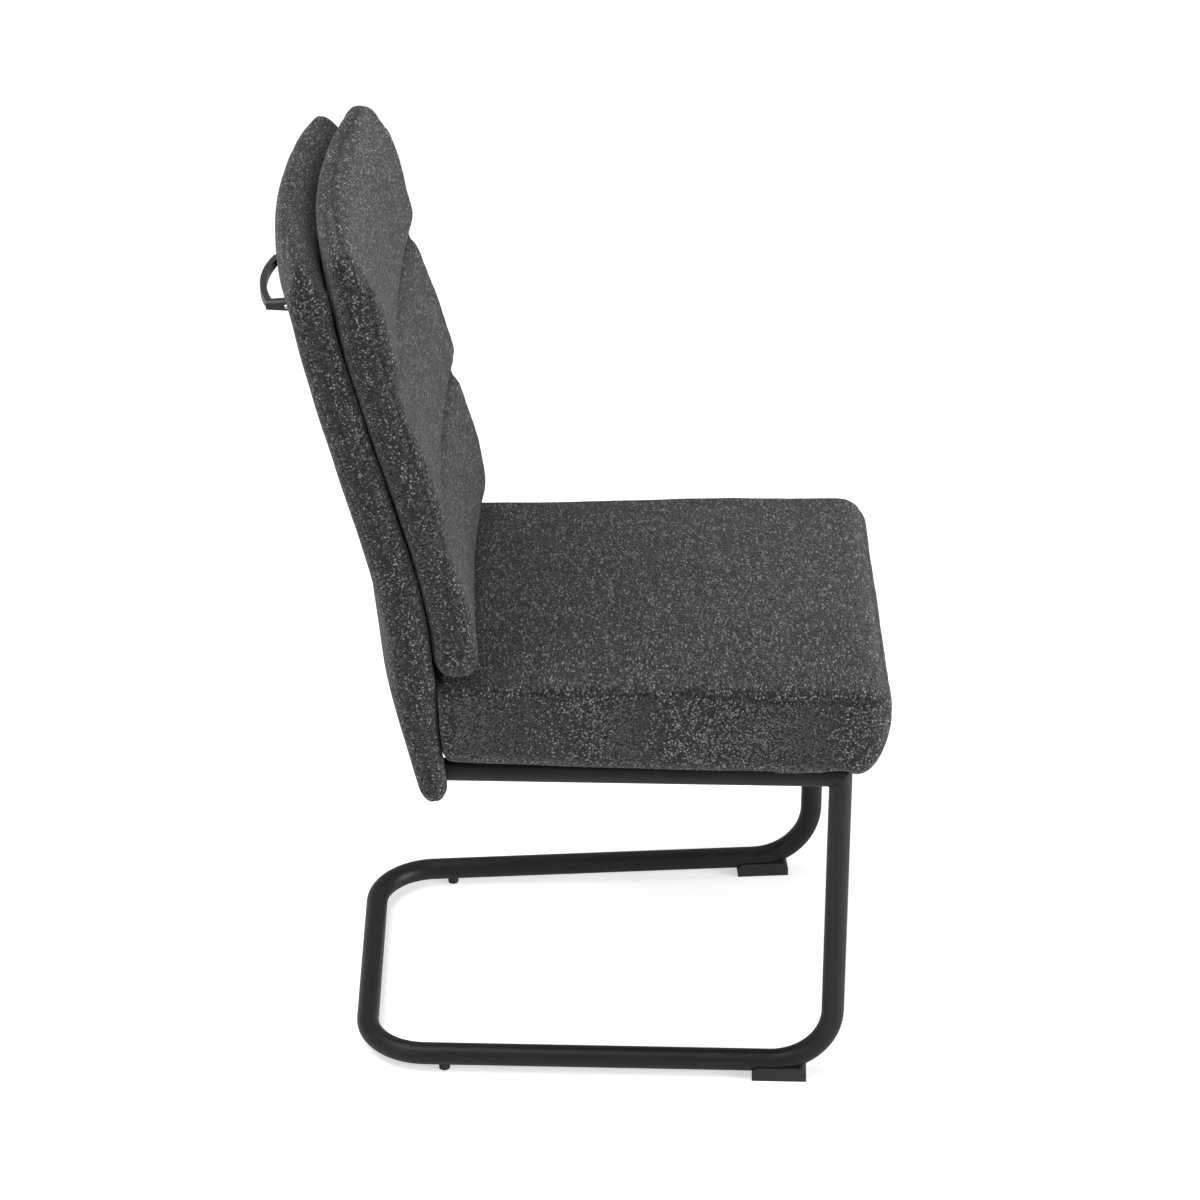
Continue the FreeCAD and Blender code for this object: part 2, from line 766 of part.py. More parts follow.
def back_point(x, height, offset):
    """Point in a layer of the back, on the line square to the shell's face at a place."""
    centre = bow_centre(height)
    surface = V(x, centre.y + math.sqrt(bow_radius ** 2 - x ** 2), centre.z)
    normal = outward(x, height)
    level_share = math.hypot(normal.x, normal.y)
    return surface + normal * (offset * level_share)


def back_rod(x, height, start, end, radius):
    """Round rod square to the back's layers."""
    return cylinder_between(back_point(x, height, start), back_point(x, height, end), radius)


def strap_bolt_places(side):
    """Where the bolts go through a strap and the panel."""
    return [(side * side_x(back_y), height) for height in strap_bolt_heights]


def strap_bolt_head(x, height, clearance=0.0):
    """Head of a strap bolt, on the strap's front."""
    front = strap_front(height)
    return back_rod(x, height, front - bolt_head_height - clearance, front,
                    bolt_head_diameter / 2 + clearance)


def strap_bolt_shank(x, height, clearance=0.0):
    """Shank of a strap bolt, from the strap's front to past its nut."""
    end = panel_rear(height) + nut_flange_thickness + bolt_stick_out + clearance
    return back_rod(x, height, strap_front(height), end, bolt_diameter / 2 + clearance)


def strap_bolt(x, height):
    """Round-headed bolt through a strap and the panel."""
    return strap_bolt_head(x, height).fuse(strap_bolt_shank(x, height)).removeSplitter()


def strap_nut(x, height, clearance=0.0):
    """Flanged nut sunk into the panel from the rear."""
    rear = panel_rear(height)
    flange = back_rod(x, height, rear, rear + nut_flange_thickness + clearance,
                      nut_flange_diameter / 2 + clearance)
    barrel = back_rod(x, height, rear - panel_thickness * nut_barrel_share, rear,
                      nut_barrel_diameter / 2 + clearance)
    return flange.fuse(barrel).removeSplitter()


def all_strap_bolts():
    """Every bolt place on both straps."""
    return strap_bolt_places(-1) + strap_bolt_places(1)


def stud_places():
    """Where the studs join the cushion's board to the panel."""
    return [(side * stud_spacing_x / 2, height) for height in stud_heights for side in (-1, 1)]


def stud(x, height, clearance=0.0):
    """Plastic stud between the cushion's board and the panel, with a collar in the gap."""
    cushion_face = cushion_rear(height)
    front = cushion_face - cushion_board_thickness * stud_bite
    rear = panel_front(height) + panel_thickness * stud_bite
    shaft = back_rod(x, height, front, rear, stud_diameter / 2 + clearance)
    collar = back_rod(x, height, cushion_face + soft_clearance / 2, -soft_clearance / 2,
                      stud_collar_diameter / 2 + clearance)
    return shaft.fuse(collar).removeSplitter()


def handle_places():
    """Where the handle's two posts stand."""
    return [(side * handle_span / 2, handle_height) for side in (-1, 1)]


def handle_screw_shank(x, height, clearance=0.0):
    """Shank of a handle screw, from the panel's front into the post."""
    return back_rod(x, height, panel_front(height), shell_depth(height) + handle_screw_grip,
                    handle_screw_diameter / 2 + clearance)


def handle_screw_top(x, height, clearance=0.0):
    """Head of a handle screw, on the panel's front."""
    front = panel_front(height)
    return back_rod(x, height, front - bolt_head_height - clearance, front,
                    handle_screw_head / 2 + clearance)


def handle_screw(x, height):
    """Screw through the panel into a post of the handle."""
    return handle_screw_top(x, height).fuse(handle_screw_shank(x, height)).removeSplitter()


def handle_sleeve(x, height, clearance=0.0):
    """Spacer sleeve that carries a post through the foam behind the panel."""
    sleeve = back_rod(x, height, panel_rear(height), shell_depth(height) - soft_clearance,
                      sleeve_diameter / 2 + clearance)
    if clearance:
        return sleeve
    return sleeve.cut(handle_screw_shank(x, height, drill_clearance))


def back_panel():
    """Moulded plywood panel with its drilled holes."""
    panel = back_panel_blank(0).cut(strap(-1)).cut(strap(1))
    for x, height in all_strap_bolts():
        panel = panel.cut(strap_bolt_shank(x, height, drill_clearance))
        panel = panel.cut(strap_nut(x, height))
    for x, height in stud_places():
        panel = panel.cut(stud(x, height))
    for x, height in handle_places():
        panel = panel.cut(handle_screw_shank(x, height, drill_clearance))
        panel = panel.cut(handle_screw_top(x, height)).cut(handle_sleeve(x, height))
    return panel


def back_strap(side):
    """Strap with its bolt holes."""
    piece = strap(side)
    for x, height in strap_bolt_places(side):
        piece = piece.cut(strap_bolt_shank(x, height, drill_clearance))
        piece = piece.cut(strap_bolt_head(x, height))
    return piece


def rail_room(side):
    """Room that a rail's end takes up inside the shell."""
    start = rail_point(side, back_y - tube_diameter)
    end = rail_point(side, rail_end_y)
    room = cylinder_between(start, end, tube_radius + soft_clearance)
    return room.cut(layer(shell_bottom, strap_top, strap_front, shell_depth, half_back))


def shell_hardware():
    """Everything that the shell's foam gives way to."""
    gap = soft_clearance
    pieces = [back_panel_blank(gap)]
    for side in (-1, 1):
        pieces += [strap(side, gap), rail_room(side)]
    for x, height in all_strap_bolts():
        pieces += [strap_bolt_head(x, height, gap), strap_bolt_shank(x, height, gap),
                   strap_nut(x, height, gap)]
    for x, height in stud_places():
        pieces.append(stud(x, height, gap))
    for x, height in handle_places():
        pieces += [handle_screw_top(x, height, gap), handle_sleeve(x, height, gap)]
    return pieces


def back_shell_foam():
    """Foam around the panel, the straps and the fasteners."""
    foam = shell_form(cover_thickness + soft_clearance)
    for piece in shell_hardware():
        foam = foam.cut(piece)
    return foam


def back_shell_cover():
    """Sewn cover of the shell, open where the rails, studs and posts go through."""
    cover = shell_form(0).cut(shell_form(cover_thickness))
    for side in (-1, 1):
        cover = cover.cut(rail_room(side))
    for x, height in stud_places():
        cover = cover.cut(stud(x, height, soft_clearance))
    for x, height in handle_places():
        cover = cover.cut(handle_sleeve(x, height, soft_clearance))
    return cover


def cushion_board():
    """Thin board that stiffens the back cushion."""
    board = cushion_board_blank(0)
    for x, height in stud_places():
        board = board.cut(stud(x, height))
    return board


def back_cushion_foam():
    """Foam in front of the cushion's board."""
    foam = cushion_form(cover_thickness + soft_clearance)
    return foam.cut(cushion_board_blank(soft_clearance))


def back_cushion_cover():
    """Sewn cover of the back cushion, fixed to the edge of its board."""
    cover = cushion_form(0).cut(cushion_form(cover_thickness))
    return cover.cut(cushion_board_blank(soft_clearance))


# Handle

def grip_point(share, extra=0.0):
    """Point on the grip's outer face, from one post at -1 to the other at 1."""
    x = share * (handle_span / 2 + extra)
    end = back_point(handle_span / 2, handle_height, shell_depth(handle_height))
    y = end.y + handle_standoff + handle_bow * (1 - share ** 2)
    return V(x, y, end.z)


def handle_post(side):
    """Tapered post with a chamfered outer edge, from the shell to the grip's end."""
    x = side * handle_span / 2
    root = back_point(x, handle_height, shell_depth(handle_height))
    tip = grip_point(side)
    sunk = root.y - tube_radius

    def outline(y, height):
        inner = x - side * post_width / 2
        outer = x + side * post_width / 2
        cut_x = outer - side * post_chamfer
        half = height / 2
        points = [V(inner, y, root.z - half), V(outer, y, root.z - half),
                  V(outer, y, root.z + half - post_chamfer), V(cut_x, y, root.z + half),
                  V(inner, y, root.z + half)]
        return Part.makePolygon(points + points[:1])

    post = Part.makeLoft([outline(sunk, post_root_height), outline(tip.y, grip_height)], True, True)
    return post.cut(shell_form(0))


def back_handle():
    """Bow handle: two posts and the curved grip between them."""
    outer = [grip_point(share) for share in (-1, 0, 1)]
    inner = [point - V(0, grip_depth, 0) for point in outer]
    face = Part.Face(Part.Wire([Part.Arc(*outer).toShape(), Part.makeLine(outer[2], inner[2]),
                                Part.Arc(*reversed(inner)).toShape(),
                                Part.makeLine(inner[0], outer[0])]))
    grip = face.extrude(V(0, 0, grip_height))
    grip.translate(V(0, 0, -grip_height / 2))
    handle = grip.fuse([handle_post(-1), handle_post(1)]).removeSplitter()
    for x, height in handle_places():
        handle = handle.cut(handle_screw_shank(x, height))
    return handle


def build():
    """Every node of the chair, by name."""
    nodes = {"base_tube": base_tube()}
    for name, side in (("left", 1), ("right", -1)):
        nodes["seat_rail_" + name] = seat_rail(side)
        nodes["front_glide_" + name] = front_glide(side)
        nodes["rear_glide_" + name] = rear_glide(side)
        nodes["back_strap_" + name] = back_strap(side)
    for name, y in zip(("front", "rear"), cross_bar_places()):
        nodes["cross_bar_" + name] = cross_bar(y)
    nodes["seat_board"] = seat_board()
    nodes["seat_bolts"] = [seat_bolt(place) for place in seat_bolt_places()]
    nodes["seat_nuts"] = [seat_nut(place).cut(seat_bolt_shank(place)) for place in seat_bolt_places()]
    nodes["seat_dust_cover"] = seat_dust_cover()
    nodes["seat_foam"] = seat_foam()
    nodes["seat_cover"] = seat_cover()
    nodes["back_panel"] = back_panel()
    nodes["back_shell_foam"] = back_shell_foam()
    nodes["back_shell_cover"] = back_shell_cover()
    nodes["strap_bolts"] = [strap_bolt(x, height) for x, height in all_strap_bolts()]
    nodes["strap_nuts"] = [strap_nut(x, height).cut(strap_bolt_shank(x, height))
                           for x, height in all_strap_bolts()]
    nodes["cushion_board"] = cushion_board()
    nodes["cushion_studs"] = [stud(x, height) for x, height in stud_places()]
    nodes["back_cushion_foam"] = back_cushion_foam()
    nodes["back_cushion_cover"] = back_cushion_cover()
    nodes["back_handle"] = back_handle()
    nodes["handle_screws"] = [handle_screw(x, height) for x, height in handle_places()]
    nodes["handle_sleeves"] = [handle_sleeve(x, height) for x, height in handle_places()]
    return nodes


os.makedirs("parts", exist_ok=True)
for node_name, node_shapes in build().items():
    save(node_name, node_shapes)
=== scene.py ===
import bpy
import bmesh
import math
from mathutils import Matrix, Vector, noise
from mathutils.bvhtree import BVHTree

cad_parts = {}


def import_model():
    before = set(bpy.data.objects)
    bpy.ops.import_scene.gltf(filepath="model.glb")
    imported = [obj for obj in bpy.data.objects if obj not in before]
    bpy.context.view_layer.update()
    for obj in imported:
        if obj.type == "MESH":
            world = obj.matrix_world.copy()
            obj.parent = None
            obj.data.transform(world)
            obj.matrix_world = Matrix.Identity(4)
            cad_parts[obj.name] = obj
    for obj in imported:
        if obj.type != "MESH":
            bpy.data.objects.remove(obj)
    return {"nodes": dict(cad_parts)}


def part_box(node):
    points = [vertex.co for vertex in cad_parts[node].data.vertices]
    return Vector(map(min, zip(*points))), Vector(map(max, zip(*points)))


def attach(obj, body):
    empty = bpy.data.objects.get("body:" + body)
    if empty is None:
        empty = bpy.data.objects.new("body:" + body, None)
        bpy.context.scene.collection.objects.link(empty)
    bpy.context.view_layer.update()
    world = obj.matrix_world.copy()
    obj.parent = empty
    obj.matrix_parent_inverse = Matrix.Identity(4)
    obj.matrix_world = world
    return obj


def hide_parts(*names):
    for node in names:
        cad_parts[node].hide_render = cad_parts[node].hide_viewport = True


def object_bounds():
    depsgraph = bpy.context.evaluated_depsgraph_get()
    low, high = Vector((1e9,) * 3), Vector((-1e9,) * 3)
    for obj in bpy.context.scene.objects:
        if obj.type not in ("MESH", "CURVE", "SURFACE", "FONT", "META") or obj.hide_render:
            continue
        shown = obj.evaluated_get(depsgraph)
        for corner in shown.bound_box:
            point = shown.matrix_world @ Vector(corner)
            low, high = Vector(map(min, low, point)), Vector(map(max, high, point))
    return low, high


# Looks of a cantilever dining chair, in metres. +Z is up and the sitter faces -Y.
# The tube frame, glides, boards and fasteners keep their own meshes and get materials.
# The three padded pieces are made anew over the foam, with seams, channels and creases.

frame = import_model()
nodes = frame["nodes"]
cad_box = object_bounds()

# Sizes of the upholstery

cloth_gap = 0.0021          # from the foam to the outside of its cover
voxel = 0.005               # spacing of the even mesh before it is divided
weld_distance = 1e-6        # points nearer than this are one
ease_rounds = 3             # how often the even mesh is smoothed
ease_share = 0.5
seam_width = 0.0016
seam_depth = 0.0016
lower_channel = 0.278       # over the rail top
upper_channel = 0.446
channel_width = 0.0060
channel_depth = 0.008
channel_zone = 0.05         # a channel changes nothing further from it than this
pucker_depth = 0.0012
channel_fade = 0.025        # from the sides, where the channels run out
pucker_size = 0.012
pucker_reach = 0.010
pucker_stretch = 0.4        # under 1, gathers run longer up and down a channel
channel_reach = 0.016       # how far from a channel its gathers spread
slack = 0.0009              # slow unevenness of the padding
slack_size = 0.07
border = 0.045              # how far in from the edges the sides and the top count
side_seam_depth = 0.032     # from the cushion's board to its seam, on the upper swells
low_seam_depth = 0.022      # the same on the lowest swell
top_seam_depth = 0.015      # the same at its upper edge
hook_start = 0.75           # angle round the corner where the side seam starts back to the top seam
hook_end = 1.0
shell_middle = -0.003       # middle of the shell, counted from its panel
tip_height = 0.045          # the pads thin out over this height below their upper edge
tip_thinning = 0.20         # by this share of their depth in the middle
corner_thinning = 0.50      # and by this one at the corners
corner_start = 0.08         # inward from a pad's side, where its corner begins
corner_end = 0.01           # and where it has its full thinning
low_swell_fade = 0.06       # height over which the lowest swell's seam joins the others

# Sizes of the welds

tube_radius = 0.0125
bead_radius = 0.0016
bead_turn = math.radians(140)       # how far a weld bead goes round its tube
bead_ripples = 24
bead_radius_shares = (0.85, 1.15)   # low and high of its ripples

# Places read off the frame

cushion_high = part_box("back_cushion_cover")[1]
shell_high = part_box("back_shell_cover")[1]
rail_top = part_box("seat_rail_left")[1][2]
channel_heights = (rail_top + lower_channel, rail_top + upper_channel)


def smooth_step(low, high, value):
    """Rises smoothly from 0 at low to 1 at high."""
    share = min(1.0, max(0.0, (value - low) / (high - low)))
    return share * share * (3 - 2 * share)


def groove(distance, width):
    """1 in the middle of a groove, fading to 0 beyond its width."""
    return math.exp(-(distance / width) ** 2)


# Mesh helpers

def filled_copy(name, sources):
    """New piece with the outer shape of the foam and what it encloses, as one even mesh."""
    work = bmesh.new()
    for source in sources:
        work.from_mesh(nodes[source].data)
    bmesh.ops.remove_doubles(work, verts=work.verts, dist=weld_distance)
    mesh = bpy.data.meshes.new(name)
    work.to_mesh(mesh)
    work.free()
    piece = bpy.data.objects.new(name, mesh)
    bpy.context.scene.collection.objects.link(piece)
    remesh = piece.modifiers.new("even", "REMESH")
    remesh.mode = "VOXEL"
    remesh.voxel_size = voxel
    settle(piece)
    keep_outside(piece)
    ease = piece.modifiers.new("ease", "SMOOTH")
    ease.iterations = ease_rounds
    ease.factor = ease_share
    settle(piece)
    return piece


def settle(piece):
    """Applies a piece's modifiers."""
    depsgraph = bpy.context.evaluated_depsgraph_get()
    mesh = bpy.data.meshes.new_from_object(piece.evaluated_get(depsgraph))
    piece.modifiers.clear()
    piece.data = mesh


def keep_outside(piece):
    """Deletes all but the largest joined part of a mesh, such as closed hollows inside it."""
    work = bmesh.new()
    work.from_mesh(piece.data)
    unseen = set(work.verts)
    largest = set()
    while unseen:
        part = {unseen.pop()}
        to_visit = list(part)
        while to_visit:
            vertex = to_visit.pop()
            for edge in vertex.link_edges:
                other = edge.other_vert(vertex)
                if other in unseen:
                    unseen.remove(other)
                    part.add(other)
                    to_visit.append(other)
        if len(part) > len(largest):
            largest = part
    spare = [vertex for vertex in work.verts if vertex not in largest]
    bmesh.ops.delete(work, geom=spare, context="VERTS")
    work.to_mesh(piece.data)
    work.free()


def refine(piece):
    """Divides each face once, smoothly."""
    divide = piece.modifiers.new("divide", "SUBSURF")
    divide.levels = 1
    divide.render_levels = 1
    settle(piece)


def grow(piece, distance):
    """Moves the whole surface outward."""
    mesh = piece.data
    normals = [vertex.normal.copy() for vertex in mesh.vertices]
    for vertex, normal in zip(mesh.vertices, normals):
        vertex.co += normal * distance
    mesh.update()


def dress(piece, rule):
    """Moves each point by what the rule gives, and keeps how near it is to a seam.

    The rule takes a place and its normal, and gives the move outward, the move to the rear
    and the share of a seam, from 0 to 1.
    """
    mesh = piece.data
    normals = [vertex.normal.copy() for vertex in mesh.vertices]
    seams = []
    for vertex, normal in zip(mesh.vertices, normals):
        outward, rearward, seam = rule(vertex.co, normal)
        vertex.co += normal * outward + Vector((0, rearward, 0))
        seams.append(seam)
    mesh.attributes.new("seam", "FLOAT", "POINT").data.foreach_set("value", seams)
    mesh.update()


def upholster(name, inside, rule, material, replaced):
    """Padded piece made anew over its foam, which it replaces together with the cover."""
    piece = filled_copy(name, inside)
    grow(piece, cloth_gap)
    refine(piece)
    dress(piece, rule)
    for polygon in piece.data.polygons:
        polygon.use_smooth = True
    piece.data.materials.append(material)
    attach(piece, "root")
    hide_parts(*replaced)


def unevenness(place):
    """Slow rise and fall of stuffed cloth, in metres."""
    return slack * noise.noise(place / slack_size)


def puckers(place):
    """Small gathers of cloth beside a seam, from -1 to 1."""
    return noise.noise(place / pucker_size)


def depth_before(node):
    """Function for the distance of a place in front of a bowed board of the back."""
    tree = BVHTree.FromObject(nodes[node], bpy.context.evaluated_depsgraph_get())
    low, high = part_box(node)
    margin = 0.003      # how far inside the board's edges its face is read
    rear_lean = 0.2     # of the back, above the board

    def depth(place):
        x = min(high[0] - margin, max(low[0] + margin, place.x))
        z = min(high[2] - margin, max(low[2] + margin, place.z))
        hit = tree.ray_cast(Vector((x, -1, z)), Vector((0, 1, 0)))[0]
        if hit is None:
            return 0.0
        return hit.y + (place.z - z) * rear_lean - place.y

    return depth


def tip_pinch(place, depth, middle, half, top):
    """Rearward move that thins a pad towards its upper edge and most at its corners."""
    rise = smooth_step(top - tip_height, top, place.z)
    corner = smooth_step(half - corner_start, half - corner_end, abs(place.x))
    share = rise * (tip_thinning + (corner_thinning - tip_thinning) * corner)
    return (depth - middle) * share


# Seat cushion

# Side view of the border seam: place along Y, and height
seat_seam = [(-0.34, 0.4925), (-0.19, 0.496), (-0.14, 0.500),
             (-0.09, 0.507), (-0.04, 0.510), (0.2, 0.512)]
seat_top_normal = 0.8       # faces that point up more than this lie above the seam
seat_seam_share = 0.8       # of the full depth of a seam
seat_pucker_share = 0.6


def line_height(points, y):
    """Height at y of a line through points in rising order of y."""
    for (y0, z0), (y1, z1) in zip(points, points[1:]):
        if y <= y1:
            break
    share = min(1.0, max(0.0, (y - y0) / (y1 - y0)))
    return z0 + (z1 - z0) * share


def seat_rule(place, normal):
    """Border seam round the seat's sides and nose, and its unevenness."""
    outward = unevenness(place)
    seam = 0.0
    if normal.z < seat_top_normal:
        distance = place.z - line_height(seat_seam, place.y)
        seam = groove(distance, seam_width)
        outward -= seam_depth * seat_seam_share * seam
        outward += pucker_depth * seat_pucker_share * puckers(place) * groove(distance, pucker_reach)
    return outward, 0.0, seam


# Back shell

shell_side_normal = 0.6     # faces that point forward or back more than this have no seam
shell_seam_share = 0.5      # of the full depth of a seam
shell_pucker_share = 0.5
shell_seam_tone = 0.6       # of the full darkness of a seam
shell_slack_scale = 1.3     # its unevenness is this much closer


def shell_rule():
    """Seam round the middle of the shell's sides and top, its thin tip and its unevenness."""
    depth_of = depth_before("back_panel")
    half = shell_high[0]
    top = shell_high[2]

    def rule(place, normal):
        outward = unevenness(place * shell_slack_scale)
        if half - abs(place.x) > border and top - place.z > border:
            return outward, 0.0, 0.0
        depth = depth_of(place)
        distance = depth - shell_middle
        seam = 0.0
        if abs(normal.y) < shell_side_normal:
            seam = groove(distance, seam_width)
            outward -= seam_depth * shell_seam_share * seam
            outward += pucker_depth * shell_pucker_share * puckers(place) * groove(distance, pucker_reach)
        rearward = tip_pinch(place, depth, shell_middle, half, top)
        return outward, rearward, seam * shell_seam_tone

    return rule


# Back cushion

cushion_side_normal = 0.92  # faces that point forward or back more than this have no border seam
channel_pucker_share = 1.5
channel_seam_share = 1.3    # width of a channel's line of stitches, against a border seam's
channel_seam_tone = 0.8


def cushion_rule():
    """Channels, border seam, gathers, thin tip and unevenness of the back cushion."""
    depth_of = depth_before("cushion_board")
    half = cushion_high[0]
    top = cushion_high[2]
    low_swell_top = channel_heights[0]

    def channels(place, front):
        """Move and seam share of the two sewn channels, which fade out at the sides."""
        outward = 0.0
        seam = 0.0
        from_side = smooth_step(0.0, channel_fade, half - abs(place.x))
        for height in channel_heights:
            distance = place.z - height
            if abs(distance) < channel_zone:
                line = groove(distance, channel_width) * front * from_side
                outward -= channel_depth * line
                gather = puckers(Vector((place.x, height, place.z * pucker_stretch)))
                spread = groove(distance, channel_reach) * front
                outward += pucker_depth * channel_pucker_share * gather * spread
                seam += channel_seam_tone * groove(distance, seam_width * channel_seam_share) * front
        return outward, seam

    def border_seam(place, depth):
        """Distance of a place on the sides or the top from the seam there."""
        below = top - place.z
        inward = half - abs(place.x)
        turn = math.atan2(border - below, border - inward)
        top_share = smooth_step(hook_start, hook_end, turn)
        low_share = smooth_step(low_swell_top, low_swell_top - low_swell_fade, place.z)
        side = side_seam_depth + (low_seam_depth - side_seam_depth) * low_share
        return depth - side - (top_seam_depth - side) * top_share

    def rule(place, normal):
        outward, seam = channels(place, max(0.0, -normal.y))
        outward += unevenness(place)
        rearward = 0.0
        if half - abs(place.x) < border or top - place.z < border:
            depth = depth_of(place)
            distance = border_seam(place, depth)
            if abs(normal.y) < cushion_side_normal:
                line = groove(distance, seam_width)
                outward -= seam_depth * line
                outward += pucker_depth * puckers(place) * groove(distance, pucker_reach)
                seam = max(seam, line)
            if depth > top_seam_depth:
                rearward = tip_pinch(place, depth, top_seam_depth, half, top)
        return outward, rearward, min(1.0, seam)

    return rule


# Materials

class Shader:
    """Short names for building one node material."""

    def __init__(self, name):
        self.material = bpy.data.materials.new(name)
        self.material.use_nodes = True
        self.tree = self.material.node_tree
        self.surface = self.tree.nodes["Principled BSDF"]
        coordinates = self.tree.nodes.new("ShaderNodeTexCoord")
        self.place = coordinates.outputs["Object"]

    def link(self, output, socket):
        self.tree.links.new(output, socket)

    def set(self, **values):
        """Sets constants on the surface's own sockets."""
        for name, value in values.items():
            self.surface.inputs[name.replace("_", " ")].default_value = value

    def colour(self, output):
        self.link(output, self.surface.inputs["Base Color"])

    def rough(self, value, smoothest, roughest, low=0.3, high=0.7):
        """Roughness that rises with a value between low and high."""
        self.link(self.range(value, low, high, smoothest, roughest), self.surface.inputs["Roughness"])

    def noise(self, size, detail=2.0, roughness=0.5, distortion=0.0, place=None):
        """Noise whose spots are about size metres across."""
        node = self.tree.nodes.new("ShaderNodeTexNoise")
        node.inputs["Scale"].default_value = 1 / size
        node.inputs["Detail"].default_value = detail
        node.inputs["Roughness"].default_value = roughness
        node.inputs["Distortion"].default_value = distortion
        self.link(place or self.place, node.inputs["Vector"])
        return node.outputs["Fac"]

    def stretched(self, x, y, z):
        """Place whose patterns come out longer along the axes that have a scale under 1."""
        node = self.tree.nodes.new("ShaderNodeMapping")
        node.inputs["Scale"].default_value = (x, y, z)
        self.link(self.place, node.inputs["Vector"])
        return node.outputs["Vector"]

    def cells(self, size, randomness=1.0, place=None):
        """Cells about size metres across, with a colour of their own and the distance to their middle."""
        node = self.tree.nodes.new("ShaderNodeTexVoronoi")
        node.inputs["Scale"].default_value = 1 / size
        node.inputs["Randomness"].default_value = randomness
        self.link(place or self.place, node.inputs["Vector"])
        return node

    def ramp(self, value, stops):
        """Colours by value; stops are (place, colour) pairs."""
        node = self.tree.nodes.new("ShaderNodeValToRGB")
        elements = node.color_ramp.elements
        while len(elements) < len(stops):
            elements.new(0.5)
        for element, (position, colour) in zip(elements, stops):
            element.position = position
            element.color = (*colour, 1)
        self.link(value, node.inputs["Fac"])
        return node.outputs["Color"]

    def mix(self, factor, first, second, blend="MIX"):
        """Mix of two colours or outputs."""
        node = self.tree.nodes.new("ShaderNodeMix")
        node.data_type = "RGBA"
        node.blend_type = blend
        colours = [item for item in node.inputs if item.type == "RGBA"]
        for value, socket in zip((first, second), colours):
            if isinstance(value, tuple):
                socket.default_value = (*value, 1)
            else:
                self.link(value, socket)
        socket = node.inputs["Factor"]
        if isinstance(factor, float):
            socket.default_value = factor
        else:
            self.link(factor, socket)
        return [item for item in node.outputs if item.type == "RGBA"][0]

    def math(self, operation, first, second):
        """Sum or product of two numbers or outputs."""
        node = self.tree.nodes.new("ShaderNodeMath")
        node.operation = operation
        for value, socket in zip((first, second), node.inputs):
            if isinstance(value, (int, float)):
                socket.default_value = value
            else:
                self.link(value, socket)
        return node.outputs["Value"]

    def range(self, value, low, high, new_low, new_high):
        """Value moved from one range to another, held inside it."""
        node = self.tree.nodes.new("ShaderNodeMapRange")
        limits = {"From Min": low, "From Max": high, "To Min": new_low, "To Max": new_high}
        for name, number in limits.items():
            node.inputs[name].default_value = number
        self.link(value, node.inputs["Value"])
        return node.outputs["Result"]

    def bump(self, height, relief, strength=1.0):
        """Relief of a height from 0 to 1 that stands this many metres high."""
        node = self.tree.nodes.new("ShaderNodeBump")
        node.inputs["Distance"].default_value = relief
        node.inputs["Strength"].default_value = strength
        self.link(height, node.inputs["Height"])
        self.link(node.outputs["Normal"], self.surface.inputs["Normal"])


def grey(tone):
    return tone, tone, tone


# Flecked loop weave

loop_size = 0.0020
loop_stretch = (0.55, 1.0, 1.0)     # loops lie across the chair
fibre_size = 0.0010
fading_size = 0.030
stitch_size = 0.0035
weave_relief = 0.0014
sheen_colour = (0.80, 0.79, 0.77, 1)
seam_black = grey(0.004)
yarns = [                           # from the darkest yarn to the few lightest flecks
    (0.0, (0.012, 0.012, 0.0115)),
    (0.35, (0.034, 0.034, 0.032)),
    (0.70, (0.105, 0.103, 0.099)),
    (0.90, (0.25, 0.247, 0.24)),
    (1.0, (0.42, 0.415, 0.40)),
]


def tweed(name):
    """Dark warm-grey loop weave with light flecks, painted shade at the edges of its loops, and darker
    along its seams.
    """
    shader = Shader(name)
    loops = shader.cells(loop_size, place=shader.stretched(*loop_stretch))
    one_loop = shader.tree.nodes.new("ShaderNodeSeparateColor")
    shader.link(loops.outputs["Color"], one_loop.inputs["Color"])
    loop_height = shader.range(loops.outputs["Distance"], 0.0, 0.8, 1.0, 0.0)
    fibre = shader.noise(fibre_size, detail=3.0, roughness=0.65)
    fading = shader.noise(fading_size, detail=3.0)
    base = shader.ramp(one_loop.outputs["Red"], yarns)
    # The first shade darkens each loop towards its edge: painted shade between the loops. The other two
    # are the fibre's and the cloth's own tones.
    shades = [shader.ramp(loop_height, [(0.15, grey(0.18)), (0.75, grey(1.0))]),
              shader.ramp(fibre, [(0.30, grey(0.55)), (0.70, grey(1.25))]),
              shader.ramp(fading, [(0.3, grey(0.86)), (0.7, grey(1.0))])]
    for shade in shades:
        base = shader.mix(1.0, base, shade, "MULTIPLY")
    stitches = shader.range(shader.noise(stitch_size, detail=1.0), 0.35, 0.6, 0.45, 1.0)
    seam = shader.tree.nodes.new("ShaderNodeAttribute")
    seam.attribute_name = "seam"
    base = shader.mix(shader.math("MULTIPLY", seam.outputs["Fac"], stitches), base, seam_black)
    shader.colour(base)
    shader.rough(fibre, smoothest=0.82, roughest=1.0)
    shader.set(Sheen_Weight=0.22, Sheen_Roughness=0.5, Sheen_Tint=sheen_colour, Specular_IOR_Level=0.25)
    shader.bump(shader.math("ADD", loop_height, shader.math("MULTIPLY", fibre, 0.5)), relief=weave_relief)
    return shader.material


# Hard surfaces, wood and cloth

def powder_coat(name):
    """Satin black powder coat with a fine orange peel and slightly worn tone."""
    shader = Shader(name)
    speck = shader.noise(size=0.0012)
    tone = shader.noise(size=0.06, detail=3.0)
    base = shader.ramp(tone, [(0.35, (0.007, 0.007, 0.0073)), (0.65, (0.010, 0.010, 0.0103))])
    shader.colour(base)
    shader.rough(speck, smoothest=0.40, roughest=0.50, low=0.35, high=0.65)
    shader.set(Specular_IOR_Level=0.30)
    shader.bump(speck, relief=0.00006, strength=0.6)
    return shader.material


